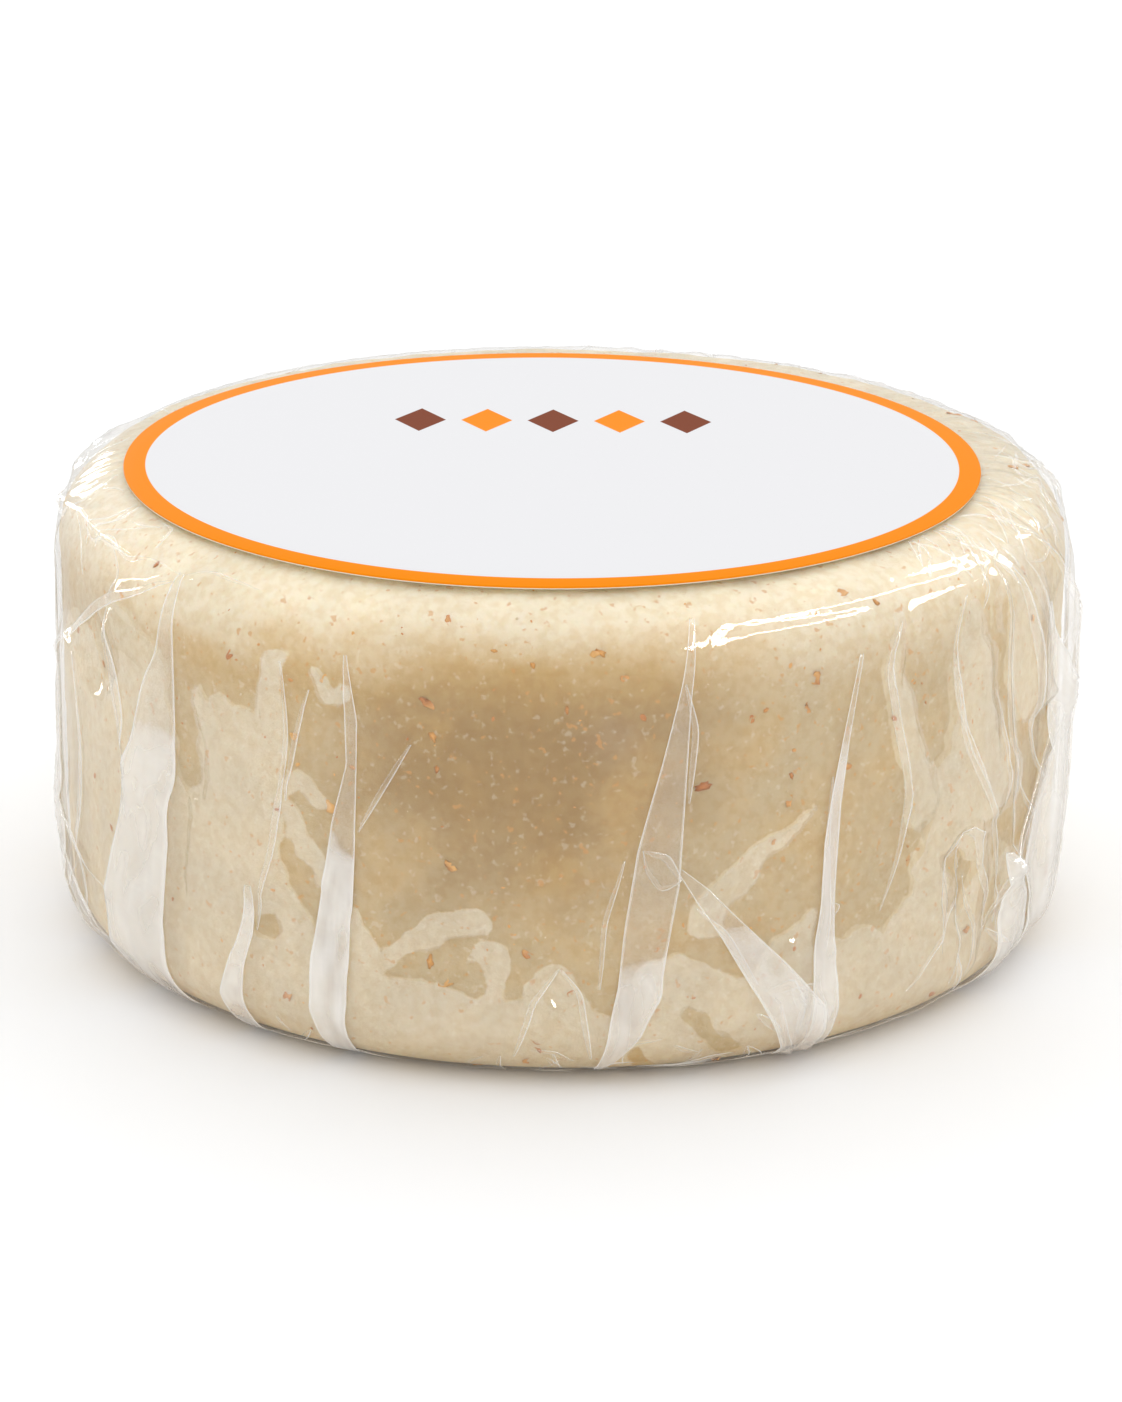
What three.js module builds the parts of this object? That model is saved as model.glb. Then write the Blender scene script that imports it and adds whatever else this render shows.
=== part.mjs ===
// A round cake of peanut marzipan, tightly wrapped in clear film, with a round
// paper label stuck on top of the film. Millimetres, +Z up; the origin is the
// middle of the underside and -Y is the front, the side with the widest folds.
//
// The wrapped cake is one closed solid: the outer face of the film, which
// hangs from the shoulder of the cake in flat folded pleats, stands off in
// small peaks between them, and is gathered under the foot.
import * as THREE from "three";

// ---- Driving dimensions ---------------------------------------------------
const WRAP_RADIUS = 26.0; // film lying on the side of the cake
const WRAP_HEIGHT = 24.0; // table to the film on the flat top
const SHOULDER_RADIUS = 4.0; // rounding of the top edge
const FOOT_RADIUS = 3.4; // rounding of the bottom edge
const LABEL_RADIUS = 21.75;
const LABEL_THICKNESS = 0.12;
const LABEL_CENTRE = { x: -0.55, y: -1.45 }; // stuck on slightly off centre

const PLEAT_RISE = 0.5; // three layers of film and the air between them
const PEAK_RISE = 0.9; // how far the film stands off at a peak
const GATHER_RISE = 0.35; // fine gathers round the foot
const UNDER_SHARE = 0.3; // share of a fold's height that is left underneath
const UNDER_GROOVE = 0.3; // depth of the film's creases underneath
const UNDER_TWIST = 9; // degrees by which those creases curl on their way in
const BASE_RADIUS = 5.0; // flat knot of overlapped film in the middle underneath

// ---- Mesh fineness --------------------------------------------------------
const COLUMNS = 150; // round the cake
const ARC_STEPS = 7; // over the shoulder, and as many round the foot
const SIDE_STEPS = 8;
const UNDER_STEPS = 3;
const LABEL_SEGMENTS = 120;

const rad = THREE.MathUtils.degToRad;
const smooth = THREE.MathUtils.smoothstep;
const lerp = THREE.MathUtils.lerp;

// ---- Folds ----------------------------------------------------------------
// A pleat is a flat fold that starts at a point on the shoulder and widens
// down to the foot. Angles are degrees from the front, positive to the right;
// top is its apex, left and right are its edges at the foot, and start is the
// share of the height at which it begins.
const FRONT_PLEATS = [
  { top: -45, left: -57.5, right: -45.5, start: 0.88 },
  { top: -34, left: -38, right: -35, start: 0.42 },
  { top: -22.5, left: -26.5, right: -22.3, start: 0.84 },
  { top: 13.8, left: 4, right: 8.5, start: 0.88 },
  { top: 8, left: 24, right: 28.5, start: 0.5 },
  { top: 32.5, left: 27.4, right: 30.2, start: 0.82 },
];
// Where the film stands off the shoulder in a point, in degrees.
const FRONT_PEAKS = [-68, -45, 13.8, 52.5];
const PEAK_REACH = 7; // degrees to either side of the point
const PEAK_LEVEL = WRAP_HEIGHT - 0.45 * SHOULDER_RADIUS;
const PEAK_ABOVE = 0.42 * SHOULDER_RADIUS; // how far up and down it is felt
const PEAK_BELOW = 2.6 * SHOULDER_RADIUS;
const PLEAT_SOFTNESS = 0.9; // degrees over which a fold's edge rises
const GATHER_FROM = 0.35 * WRAP_HEIGHT; // the gathers fade out above this

// The sides and the back are folded by the same hand: one pleat in each
// stretch of this many degrees, placed and sized by a seeded draw.
const BACK_FROM = 66;
const BACK_TO = 286;
const BACK_PLEATS = 9;
const BACK_LEAN = 9; // degrees, to either side
const BACK_WIDTH = { least: 4, most: 11 }; // degrees at the foot
const BACK_START = { least: 0.62, most: 0.9 }; // share of the height

// A small repeatable random source, 0 to 1.
function seeded(seed) {
  let state = seed;
  return () => {
    state = (state * 16807) % 2147483647;
    return state / 2147483647;
  };
}

function backPleats() {
  const draw = seeded(7);
  const stretch = (BACK_TO - BACK_FROM) / BACK_PLEATS;
  return Array.from({ length: BACK_PLEATS }, (_, i) => {
    const top = BACK_FROM + stretch * (i + 0.3 + 0.4 * draw());
    const lean = lerp(-BACK_LEAN, BACK_LEAN, draw());
    const width = lerp(BACK_WIDTH.least, BACK_WIDTH.most, draw());
    return {
      top,
      left: top + lean - width / 2,
      right: top + lean + width / 2,
      start: lerp(BACK_START.least, BACK_START.most, draw()),
    };
  });
}

const PLEATS = [...FRONT_PLEATS, ...backPleats()];
const PEAKS = [
  ...FRONT_PEAKS,
  ...backPleats()
    .filter((_, i) => i % 2 === 0)
    .map((pleat) => pleat.top),
];

// Signed difference of two angles in degrees, -180 to 180.
function turn(a, b) {
  return ((((a - b + 180) % 360) + 360) % 360) - 180;
}

// 0 to 1: how fully the point lies on a pleat.
function onPleat(angle, height) {
  let most = 0;
  for (const pleat of PLEATS) {
    const down = 1 - height / (pleat.start * WRAP_HEIGHT);
    if (down <= 0) continue;
    const middle = lerp(pleat.top, (pleat.left + pleat.right) / 2, down);
    const half = lerp(0.4, (pleat.right - pleat.left) / 2, Math.min(1, down * 1.15));
    const out = Math.abs(turn(angle, middle)) - half;
    const share = 1 - smooth(out, -PLEAT_SOFTNESS, PLEAT_SOFTNESS);
    most = Math.max(most, share * smooth(down, 0, 0.25));
  }
  return most;
}

// 0 to 1: how near the point is to a peak of film on the shoulder.
function onPeak(angle, height) {
  const spread = height > PEAK_LEVEL ? PEAK_ABOVE : PEAK_BELOW;
  const level = Math.exp(-(((height - PEAK_LEVEL) / spread) ** 2));
  const nearest = Math.min(...PEAKS.map((peak) => Math.abs(turn(angle, peak))));
  return level * Math.exp(-((nearest / PEAK_REACH) ** 2));
}

// -1 to 1: the fine gathers of the film, which sharpen towards the foot.
function gathers(angle) {
  const a = rad(angle);
  return 0.5 * Math.sin(23 * a + 1.3) + 0.3 * Math.sin(37 * a) + 0.2 * Math.sin(11 * a + 4);
}

// How far the film stands off the smooth profile, along its normal.
function relief(angle, height) {
  const foot = 1 - smooth(height, 0, GATHER_FROM);
  const pleat = PLEAT_RISE * onPleat(angle, height);
  const peak = PEAK_RISE * onPeak(angle, height);
  const gather = GATHER_RISE * foot * (0.5 + 0.5 * gathers(angle));
  return pleat + peak + gather;
}

// ---- Profile --------------------------------------------------------------
// From the middle of the top, over the shoulder, down the side, round the
// foot. Each point has its radius and height, the direction in which the folds
// stand off there, and the share of their full height that they reach.
function wrapProfile() {
  const quarter = Math.PI / 2;
  const points = [];
  for (let i = 0; i <= ARC_STEPS; i++) {
    const a = (quarter * i) / ARC_STEPS;
    points.push({
      r: WRAP_RADIUS - SHOULDER_RADIUS * (1 - Math.sin(a)),
      z: WRAP_HEIGHT - SHOULDER_RADIUS * (1 - Math.cos(a)),
      out: [Math.sin(a), Math.cos(a)],
      share: Math.sin(a), // none on the flat top
    });
  }
  for (let i = 1; i < SIDE_STEPS; i++) {
    const z = lerp(WRAP_HEIGHT - SHOULDER_RADIUS, FOOT_RADIUS, i / SIDE_STEPS);
    points.push({ r: WRAP_RADIUS, z, out: [1, 0], share: 1 });
  }
  for (let i = 0; i <= ARC_STEPS; i++) {
    const a = (quarter * i) / ARC_STEPS;
    points.push({
      r: WRAP_RADIUS - FOOT_RADIUS * (1 - Math.cos(a)),
      z: FOOT_RADIUS * (1 - Math.sin(a)),
      out: [1, 0], // gathers stand out sideways, never below the table
      share: lerp(UNDER_SHARE, 1, Math.cos(a)),
    });
  }
  return points;
}

// ---- Solids ---------------------------------------------------------------
// One ring of vertices for each profile point, closed at the top by a fan and
// underneath by shallow radial creases that run in to a flat knot of film.
function wrappedCakeGeometry() {
  const rings = wrapProfile().map((point) => (angle) => {
    const rise = point.share * relief(angle, point.z);
    return [point.r + point.out[0] * rise, point.z + point.out[1] * rise];
  });
  const footEdge = WRAP_RADIUS - FOOT_RADIUS;
  for (let i = 1; i <= UNDER_STEPS; i++) {
    const inward = i / UNDER_STEPS;
    const r = lerp(footEdge, BASE_RADIUS, inward);
    const depth = i === UNDER_STEPS ? 0 : UNDER_GROOVE;
    rings.push((angle) => [r, depth * (0.5 - 0.5 * gathers(angle + UNDER_TWIST * inward))]);
  }
  const vertices = [0, 0, WRAP_HEIGHT];
  for (const ring of rings) {
    for (let c = 0; c < COLUMNS; c++) {
      const angle = (360 * c) / COLUMNS;
      const [r, z] = ring(angle);
      vertices.push(r * Math.sin(rad(angle)), -r * Math.cos(rad(angle)), z);
    }
  }
  vertices.push(0, 0, 0);
  const at = (ring, c) => 1 + ring * COLUMNS + (c % COLUMNS);
  const last = vertices.length / 3 - 1;
  const faces = [];
  for (let c = 0; c < COLUMNS; c++) {
    faces.push(0, at(0, c), at(0, c + 1));
    for (let ring = 0; ring + 1 < rings.length; ring++) {
      faces.push(at(ring, c), at(ring + 1, c), at(ring + 1, c + 1));
      faces.push(at(ring, c), at(ring + 1, c + 1), at(ring, c + 1));
    }
    faces.push(at(rings.length - 1, c), last, at(rings.length - 1, c + 1));
  }
  const geometry = new THREE.BufferGeometry();
  geometry.setAttribute("position", new THREE.Float32BufferAttribute(vertices, 3));
  geometry.setIndex(faces);
  geometry.computeVertexNormals();
  return geometry;
}

function wrappedCake() {
  const marzipan = new THREE.MeshStandardMaterial({
    color: 0xdcc7a2,
    roughness: 0.35,
    metalness: 0,
  });
  const mesh = new THREE.Mesh(wrappedCakeGeometry(), marzipan);
  mesh.name = "wrapped_candy";
  return mesh;
}

function label() {
  const paper = new THREE.MeshStandardMaterial({
    color: 0xf4f4f5,
    roughness: 0.55,
    metalness: 0,
  });
  const disc = new THREE.CylinderGeometry(
    LABEL_RADIUS,
    LABEL_RADIUS,
    LABEL_THICKNESS,
    LABEL_SEGMENTS,
  );
  disc.rotateX(Math.PI / 2);
  const mesh = new THREE.Mesh(disc, paper);
  mesh.name = "label";
  mesh.position.set(LABEL_CENTRE.x, LABEL_CENTRE.y, WRAP_HEIGHT + LABEL_THICKNESS / 2);
  return mesh;
}

const candy = new THREE.Group();
candy.add(wrappedCake(), label());

export default candy;
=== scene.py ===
import math

import bpy
import numpy as np
from mathutils import Matrix, Vector, noise


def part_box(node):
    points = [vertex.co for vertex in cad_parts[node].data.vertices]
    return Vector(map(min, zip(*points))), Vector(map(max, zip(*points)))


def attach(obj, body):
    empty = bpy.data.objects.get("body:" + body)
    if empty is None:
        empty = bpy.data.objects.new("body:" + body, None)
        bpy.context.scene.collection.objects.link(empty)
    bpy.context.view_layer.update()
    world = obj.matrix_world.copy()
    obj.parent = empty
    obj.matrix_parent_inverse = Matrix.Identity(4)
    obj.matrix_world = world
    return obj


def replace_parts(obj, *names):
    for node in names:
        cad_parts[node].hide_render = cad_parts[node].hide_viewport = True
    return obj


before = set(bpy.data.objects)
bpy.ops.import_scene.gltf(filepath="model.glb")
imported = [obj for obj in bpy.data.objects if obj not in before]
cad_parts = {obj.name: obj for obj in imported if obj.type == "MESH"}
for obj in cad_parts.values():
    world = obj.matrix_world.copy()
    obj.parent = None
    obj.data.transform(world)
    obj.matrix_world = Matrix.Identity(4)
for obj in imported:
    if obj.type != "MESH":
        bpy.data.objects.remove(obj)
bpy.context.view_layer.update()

# ---- Marzipan cake ----------------------------------------------------------
# A squat round cake of ground roast peanuts and sugar, pressed in a mould. Its
# skin is dense and a little crumbly, and it turns a deeper tan wherever the
# film clings to it. All lengths are millimetres until a mesh is made.
MM = 0.001
WRAP_RADIUS = 26.0  # film lying on the side of the cake
label_low, label_high = (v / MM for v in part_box("label"))
WRAP_HEIGHT = label_low.z  # table to the film on the flat top
SHOULDER_RADIUS = 4.0
FOOT_RADIUS = 3.4
CAKE_COLUMNS = 420
CAKE_INSET = 0.30  # from the film's base surface to the skin of the cake
FOOT_FILL = 0.24  # how much of that the cake fills at the foot
FLANK_FILL = 0.10  # and on its flanks
CAKE_LIFT = 0.16  # the cake sits this high, on the film tucked under it

FLAT = WRAP_RADIUS - SHOULDER_RADIUS  # radius of the flat top
SIDE = WRAP_HEIGHT - SHOULDER_RADIUS - FOOT_RADIUS  # height of the upright side
UNDER = WRAP_RADIUS - FOOT_RADIUS  # radius of the flat underside
# How far down the film each stretch of it starts.
SIDE_FROM = SHOULDER_RADIUS * math.pi / 2
FOOT_FROM = SIDE_FROM + SIDE
UNDER_FROM = FOOT_FROM + FOOT_RADIUS * math.pi / 2
ROLL = math.radians(WRAP_RADIUS)  # millimetres round the side for each degree


def smooth(x, low, high):
    """0 below low, 1 above high, eased between."""
    t = np.clip((x - low) / (high - low), 0.0, 1.0)
    return t * t * (3 - 2 * t)


def turn(a, b):
    """Signed difference of two angles in degrees, -180 to 180."""
    return (a - b + 180.0) % 360.0 - 180.0


def profile(down):
    """The wrap's section: radius, height and outward normal at a distance
    along the film from the edge of the flat top, over the shoulder, down the
    side, round the foot and in under the cake. Negative is on the flat top."""
    a = np.clip(down / SHOULDER_RADIUS, 0, math.pi / 2)
    b = np.clip((down - FOOT_FROM) / FOOT_RADIUS, 0, math.pi / 2)
    r = FLAT + np.minimum(down, 0) + SHOULDER_RADIUS * np.sin(a)
    r = r - FOOT_RADIUS * (1 - np.cos(b)) - np.maximum(down - UNDER_FROM, 0)
    z = WRAP_HEIGHT - SHOULDER_RADIUS * (1 - np.cos(a))
    z = z - np.clip(down - SIDE_FROM, 0, SIDE) - FOOT_RADIUS * np.sin(b)
    under = down > FOOT_FROM
    nr = np.where(under, np.cos(b), np.sin(a))
    nz = np.where(under, -np.sin(b), np.cos(a))
    return r, z, nr, nz


def place(angle, r, z):
    """A point at a radius and a height. Angles are degrees from the front,
    positive to the right."""
    t = np.radians(angle)
    return np.stack([r * np.sin(t), -r * np.cos(t), z], axis=-1)


def spans(*stretches):
    """Positions along the section: (from, to, steps) for each stretch."""
    rows = [np.linspace(a, b, n, endpoint=False) for a, b, n in stretches]
    return np.concatenate(rows)


SEED_STEP = (17.3, -9.1, 5.7)  # how far a seed of 1 moves the noise


def noise_at(points, size, seed=0.0, octaves=2):
    """Smooth noise, about -1 to 1, with lumps of the given size in mm."""
    shift = Vector([seed * step for step in SEED_STEP])
    flat = points.reshape(-1, 3) / size
    values = [noise.fractal(Vector(p) + shift, 1.0, 2.0, octaves) for p in flat]
    return np.array(values).reshape(points.shape[:-1])


def cake_points(angle, down):
    r, z, nr, nz = profile(down)
    at = place(angle, r, z)
    lumps = 0.10 * noise_at(at, 5.0, 3, 2) + 0.05 * noise_at(at, 1.1, 4, 3)
    foot = smooth(down, FOOT_FROM - 1, UNDER_FROM - 2)
    inset = CAKE_INSET - FOOT_FILL * foot - lumps * (1 - foot)
    inset = inset - FLANK_FILL * smooth(np.abs(turn(angle, 0)), 60, 85) * (1 - foot)
    return place(angle, r - inset * nr, np.maximum(z - inset * nz, CAKE_LIFT))


def closed_grid(name, points, top, bottom):
    """A closed skin: rings of points, with a fan at each end."""
    rings, columns = points.shape[:2]
    index = np.arange(rings * columns).reshape(rings, columns)
    here, below = index[:-1], index[1:]
    nxt = np.roll(index, -1, axis=1)
    quads = np.stack([here, below, nxt[1:], nxt[:-1]], axis=-1).reshape(-1, 4)
    apex, base = rings * columns, rings * columns + 1
    cap = [(apex, int(index[0, c]), int(nxt[0, c])) for c in range(columns)]
    cap += [(base, int(nxt[-1, c]), int(index[-1, c])) for c in range(columns)]
    vertices = np.concatenate([points.reshape(-1, 3), [top, bottom]]) * MM
    mesh = bpy.data.meshes.new(name)
    mesh.from_pydata(vertices.tolist(), [], quads.tolist() + cap)
    mesh.shade_smooth()
    return mesh


cake_downs = spans((-21.0, -2.0, 10), (-2.0, SIDE_FROM, 40), (SIDE_FROM, FOOT_FROM, 70),
                   (FOOT_FROM, UNDER_FROM, 24), (UNDER_FROM, UNDER_FROM + UNDER - 1, 10))
cake_angles = np.arange(CAKE_COLUMNS) * 360.0 / CAKE_COLUMNS
cake_angle, cake_down = np.meshgrid(cake_angles, cake_downs)
cake_shape = cake_points(cake_angle, cake_down)
cake_mesh = closed_grid("marzipan_cake", cake_shape, (0, 0, WRAP_HEIGHT - CAKE_INSET),
                        (0, 0, CAKE_LIFT))

# Where the film stands off the cake there is air behind it: the film looks milky
# there and the skin of the cake paler. Each patch is a stroke: its radius at
# either end, and a line of places on the film between. A place is (degrees from
# the front, positive to the right; millimetres down the film from the edge of
# the flat top).
AIR_PATCHES = [
    (7.0, 6.0, [(-66, 15), (-60, 19), (-52, 25)]),  # left flank
    (3.4, 6.0, [(-57, 9.6), (-58, 14), (-60, 22)]),
    (1.2, 4.6, [(-57, 7.0), (-52, 9), (-50, 16), (-49, 23)]),
    (0.5, 3.6, [(-41.5, 8.6), (-39.5, 12), (-39.5, 20), (-39, 27)]),  # left of the seam
    (0.8, 3.4, [(-38, 9.2), (-36, 13), (-37.5, 22)]),
    (1.2, 2.4, [(-34.5, 10), (-33.6, 14), (-35.5, 20)]),
    (0.7, 1.9, [(-31, 6.6), (-31.5, 11), (-34, 17), (-35, 24)]),
    (0.35, 0.45, [(-29.8, 12.9), (-27.6, 12.2), (-25.2, 12.8)]),  # small arc
    (0.35, 0.9, [(-29.3, 13.6), (-28, 15), (-25.5, 17), (-23, 19)]),
    (0.9, 2.8, [(-29, 18.6), (-29.5, 22), (-29, 27)]),
    (0.3, 0.4, [(-26.4, 6.6), (-24.6, 7.6), (-23, 7.4)]),  # hook by the fold
    (0.5, 2.2, [(-21.6, 18.2), (-20.6, 21.4), (-19, 26)]),  # foot at the front
    (0.5, 0.7, [(-18, 20.2), (-15.6, 19.2), (-12.6, 18.2), (-8.6, 17.9)]),
    (0.8, 1.2, [(-7.2, 19.6), (-8.4, 21.4), (-11, 23)]),
    (3.0, 3.6, [(-18, 24.2), (-8, 24.6), (0, 25)]),
    (1.3, 2.8, [(-0.8, 21.2), (0.6, 23), (2, 26)]),
    (1.0, 3.4, [(9.5, 20.8), (13, 23.4), (18, 26)]),
    (0.5, 1.4, [(12, 20.2), (16, 21.2), (20, 22.8)]),
    (0.15, 0.95, [(27.2, 13.0), (24, 13.9), (20.6, 15.4), (15.6, 17.9)]),
    (0.6, 2.4, [(26.8, 18.6), (25, 20.4), (24, 24)]),
    (0.3, 0.3, [(16.4, 18.7), (16.9, 18.5)]),
    (0.3, 1.2, [(38, 4.6), (37, 6.6), (39, 10), (42, 14)]),  # right flank
    (2.2, 3.4, [(48, 13.6), (47.5, 18), (45.5, 23)]),
    (1.6, 3.4, [(40, 20.6), (42, 22.4), (42, 26)]),
    (0.8, 4.2, [(31, 20.4), (34, 22), (36, 25)]),
    (0.8, 3.0, [(49, 5.2), (50, 9), (52, 14)]),
    (3.0, 2.0, [(60, 6), (63, 10.6)]),
    (1.2, 3.6, [(58, 19.4), (60, 22), (58, 26)]),
    (2.4, 3.6, [(76, 6), (74.5, 13), (75, 23)]),
]
# Spots inside those patches where the film has come down on the cake again.
CLINGING = [
    (0.5, 1.0, [(-43.3, 9.6), (-42.6, 11.2), (-43.4, 12.8)]),
    (0.5, 0.5, [(-33.2, 19.8), (-31.6, 19.7)]),
    (0.5, 0.8, [(-27.6, 16.6), (-28.4, 17.4), (-26.4, 18)]),
    (0.4, 0.8, [(-15.2, 20.4), (-12.6, 20.7), (-9.4, 20.6)]),
    (0.3, 0.5, [(13, 22.6), (16, 23.4), (18.4, 24.4)]),
    (0.9, 0.6, [(42.6, 6.4), (43.6, 8.4), (43.4, 10.2)]),
    (0.7, 0.6, [(47.2, 17.4), (49.4, 18.4), (48.6, 20)]),
    (0.6, 0.5, [(56, 6), (55.2, 9), (56.4, 12)]),
    (0.8, 0.8, [(-62, 6.4), (-58, 9.2)]),
]
BACK_FROM = 84.0  # the rest of the way round, degrees
BACK_TO = 282.0
BACK_PATCH_EVERY = 9.0
BACK_PATCH_FOOT = 25  # millimetres down the film
FAR_OUTSIDE = -9.0


def back_patches():
    """The same kind of patches round the back: a broad milky foot and a
    finger reaching up from it in each stretch."""
    draw = np.random.default_rng(11)
    patches = []
    for middle in np.arange(BACK_FROM + 3, BACK_TO, BACK_PATCH_EVERY):
        lean = draw.uniform(-6, 6)
        top = draw.uniform(6, 19)
        width = draw.uniform(0.4, 1.3)
        foot = draw.uniform(1.8, 4.4)
        bend = draw.uniform(-3, 3)
        points = [(middle + lean, top), (middle + bend, (top + 22) / 2),
                  (middle, BACK_PATCH_FOOT)]
        patches.append((width, foot, points))
    return patches


def legs(angle, down, points):
    """For each leg of a line of places: how far along the whole line its
    nearest point lies, 0 to 1, and how many millimetres away that is."""
    steps = len(points) - 1
    for k in range(steps):
        (a0, d0), (a1, d1) = points[k], points[k + 1]
        x, y = turn(angle, a0) * ROLL, down - d0
        dx, dy = turn(a1, a0) * ROLL, d1 - d0
        t = np.clip((x * dx + y * dy) / (dx * dx + dy * dy), 0, 1)
        yield (k + t) / steps, np.hypot(x - t * dx, y - t * dy)


def strokes(angle, down, patches):
    """How deep a point lies inside the nearest stroke, in millimetres."""
    most = np.full(np.shape(angle), FAR_OUTSIDE)
    for first, last, points in patches:
        for share, away in legs(angle, down, points):
            most = np.maximum(most, first + (last - first) * share - away)
    return most


PATCHES = AIR_PATCHES + back_patches()


def air_gap(angle, down):
    """Signed distance in millimetres: positive where there is air behind the
    film. Edges wander, as those of a wetted patch do."""
    r, z, _, _ = profile(down)
    points = place(angle, r, z)
    a = angle + 0.5 * noise_at(points, 2.2, 2, 2) / ROLL
    d = down + 0.55 * noise_at(points, 2.6, 1, 3)
    return np.minimum(strokes(a, d, PATCHES), -strokes(a, d, CLINGING))


def store(mesh, name, values):
    """Keeps one number for each vertex, for the material to read."""
    full = np.zeros(len(mesh.vertices), np.float32)
    full[: values.size] = values.ravel()
    mesh.attributes.new(name, "FLOAT", "POINT").data.foreach_set("value", full)


store(cake_mesh, "air", air_gap(cake_angle, cake_down))
# The cream comes down a little further round the left of the front.
lower_left = 1.3 * smooth(24 - np.abs(turn(cake_angle, -36)), 0, 14)
store(cake_mesh, "down", cake_down - lower_left)
# The tan is deepest in the upper middle of the front and pales away from there.
from_tan = np.hypot(turn(cake_angle, -4) * ROLL * 0.75, (cake_down - 9) * 0.8)
from_tan = from_tan + 1.6 * noise_at(cake_shape, 3.4, 12, 3)
store(cake_mesh, "pale", smooth(from_tan, 2.0, 9.5))
# The gold under the shoulder turns to oat colour to either side.
from_gold = turn(cake_angle, -8) + 4 * noise_at(cake_shape, 4.0, 13, 2)
store(cake_mesh, "oat", np.maximum(smooth(from_gold, 14, 34), smooth(-from_gold, 32, 46)))
# Painted shade: the rim away from the camera's side is drawn a little darker.
from_camera = np.abs(turn(cake_angle, 0))
store(cake_mesh, "back", smooth(from_camera, 45, 100) * smooth(7 - cake_down, 0, 3))


class Nodes:
    """A short way to write nodes into a tree."""

    def __init__(self, tree):
        self.tree = tree

    def add(self, kind, inputs=None, **settings):
        made = self.tree.nodes.new(kind)
        for key, value in settings.items():
            setattr(made, key, value)
        for key, value in (inputs or {}).items():
            self.feed(made.inputs[key], value)
        return made

    def feed(self, socket, value):
        if isinstance(value, bpy.types.Node):
            value = next(o for o in value.outputs if o.enabled)
        if isinstance(value, bpy.types.NodeSocket):
            self.tree.links.new(value, socket)
        elif isinstance(value, tuple) and socket.type == "RGBA":
            socket.default_value = (*value, 1.0)
        else:
            socket.default_value = value

    def math(self, operation, *values):
        made = self.add("ShaderNodeMath", operation=operation)
        for socket, value in zip(made.inputs, values):
            self.feed(socket, value)
        return made

    def mix(self, factor, a, b, blend="MIX"):
        made = self.add("ShaderNodeMix", data_type="RGBA", blend_type=blend)
        sockets = [s for s in made.inputs if s.enabled]
        for socket, value in zip(sockets, (factor, a, b)):
            self.feed(socket, value)
        return made

    def ramp(self, value, low, high, to_low=0.0, to_high=1.0):
        made = self.add("ShaderNodeMapRange", interpolation_type="SMOOTHSTEP")
        for socket, v in zip(made.inputs, (value, low, high, to_low, to_high)):
            self.feed(socket, v)
        return made

    def noise(self, size, detail=2.0, stretch=None, **settings):
        """Noise with lumps of the given size in mm, on Object coordinates."""
        where = self.add("ShaderNodeTexCoord").outputs["Object"]
        if stretch:
            where = self.add("ShaderNodeMapping", {"Vector": where, "Scale": stretch})
        inputs = {"Vector": where, "Scale": 1 / (size * MM), "Detail": detail}
        return self.add("ShaderNodeTexNoise", inputs, **settings).outputs["Fac"]

    def attribute(self, name):
        return self.add("ShaderNodeAttribute", attribute_name=name).outputs["Fac"]

    def air(self):
        """1 where there is air behind the film, with a crisp wandering edge."""
        ragged = self.math("MULTIPLY_ADD", self.noise(0.9, 2.0), 0.5, -0.25)
        edge = self.math("ADD", self.attribute("air"), ragged)
        return self.ramp(edge, -0.05, 0.07)


class Finish(Nodes):
    """The nodes of a material."""

    def __init__(self, name):
        self.material = bpy.data.materials.new(name)
        self.material.use_nodes = True
        super().__init__(self.material.node_tree)
        self.tree.nodes.clear()

    def surface(self, shader):
        self.add("ShaderNodeOutputMaterial", {"Surface": shader})
        return self.material

    def principled(self, colour, roughness, **inputs):
        values = {name.replace("_", " "): value for name, value in inputs.items()}
        values.update({"Base Color": colour, "Roughness": roughness})
        return self.surface(self.add("ShaderNodeBsdfPrincipled", values))

    def bump(self, height, distance, strength):
        return self.add("ShaderNodeBump", {"Height": height, "Distance": distance * MM,
                                           "Strength": strength})


SKIN_CREAM_AND_TOP_LIGHT = (0.89, 0.785, 0.58)  # crumbly skin on top and over the shoulder, paler partly as painted light from above
SKIN_DRY = (0.72, 0.595, 0.385)  # side, with air between it and the film
SKIN_TAN = (0.42, 0.26, 0.082)  # side, where the film clings
SKIN_STRAW = (0.615, 0.475, 0.27)  # paler cling, lower down and round the sides
SKIN_WARM = (0.57, 0.36, 0.11)
SKIN_GOLD = (0.60, 0.385, 0.12)  # just under the shoulder, in the middle of the front
SKIN_OAT = (0.75, 0.61, 0.40)  # the same further round
SKIN_PATCH = (0.40, 0.27, 0.20)  # a bruise-brown patch of peanut skin
CRUMB_WHITE = (0.93, 0.88, 0.76)  # bits of blanched nut and sugar
CRUMB_ORANGE = (0.66, 0.33, 0.09)  # dust of peanut skin
GRAIN_TINT = (0.86, 0.76, 0.58)
# How far down the film the cream skin gives way to the gold, and the gold to the
# tan, with WANDER added where the broad noise is high. The paler top and darker
# side are partly the skin's own colour and partly painted light and shade, as
# light falls from above.
CREAM_ENDS = (4.6, 8.6)
GOLD_ENDS = (6.4, 10.4)
WANDER = 4.4
PATCH_AT = place(5.0, WRAP_RADIUS, 17.6) * MM
PATCH_FADES = (2.6 * MM, 5.8 * MM)  # from its middle outwards
PATCH_STRENGTH = 0.20
FAR_RIM_PAINTED_SHADE = 0.15  # painted shade: how much darker the skin is drawn along the far rim


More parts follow.
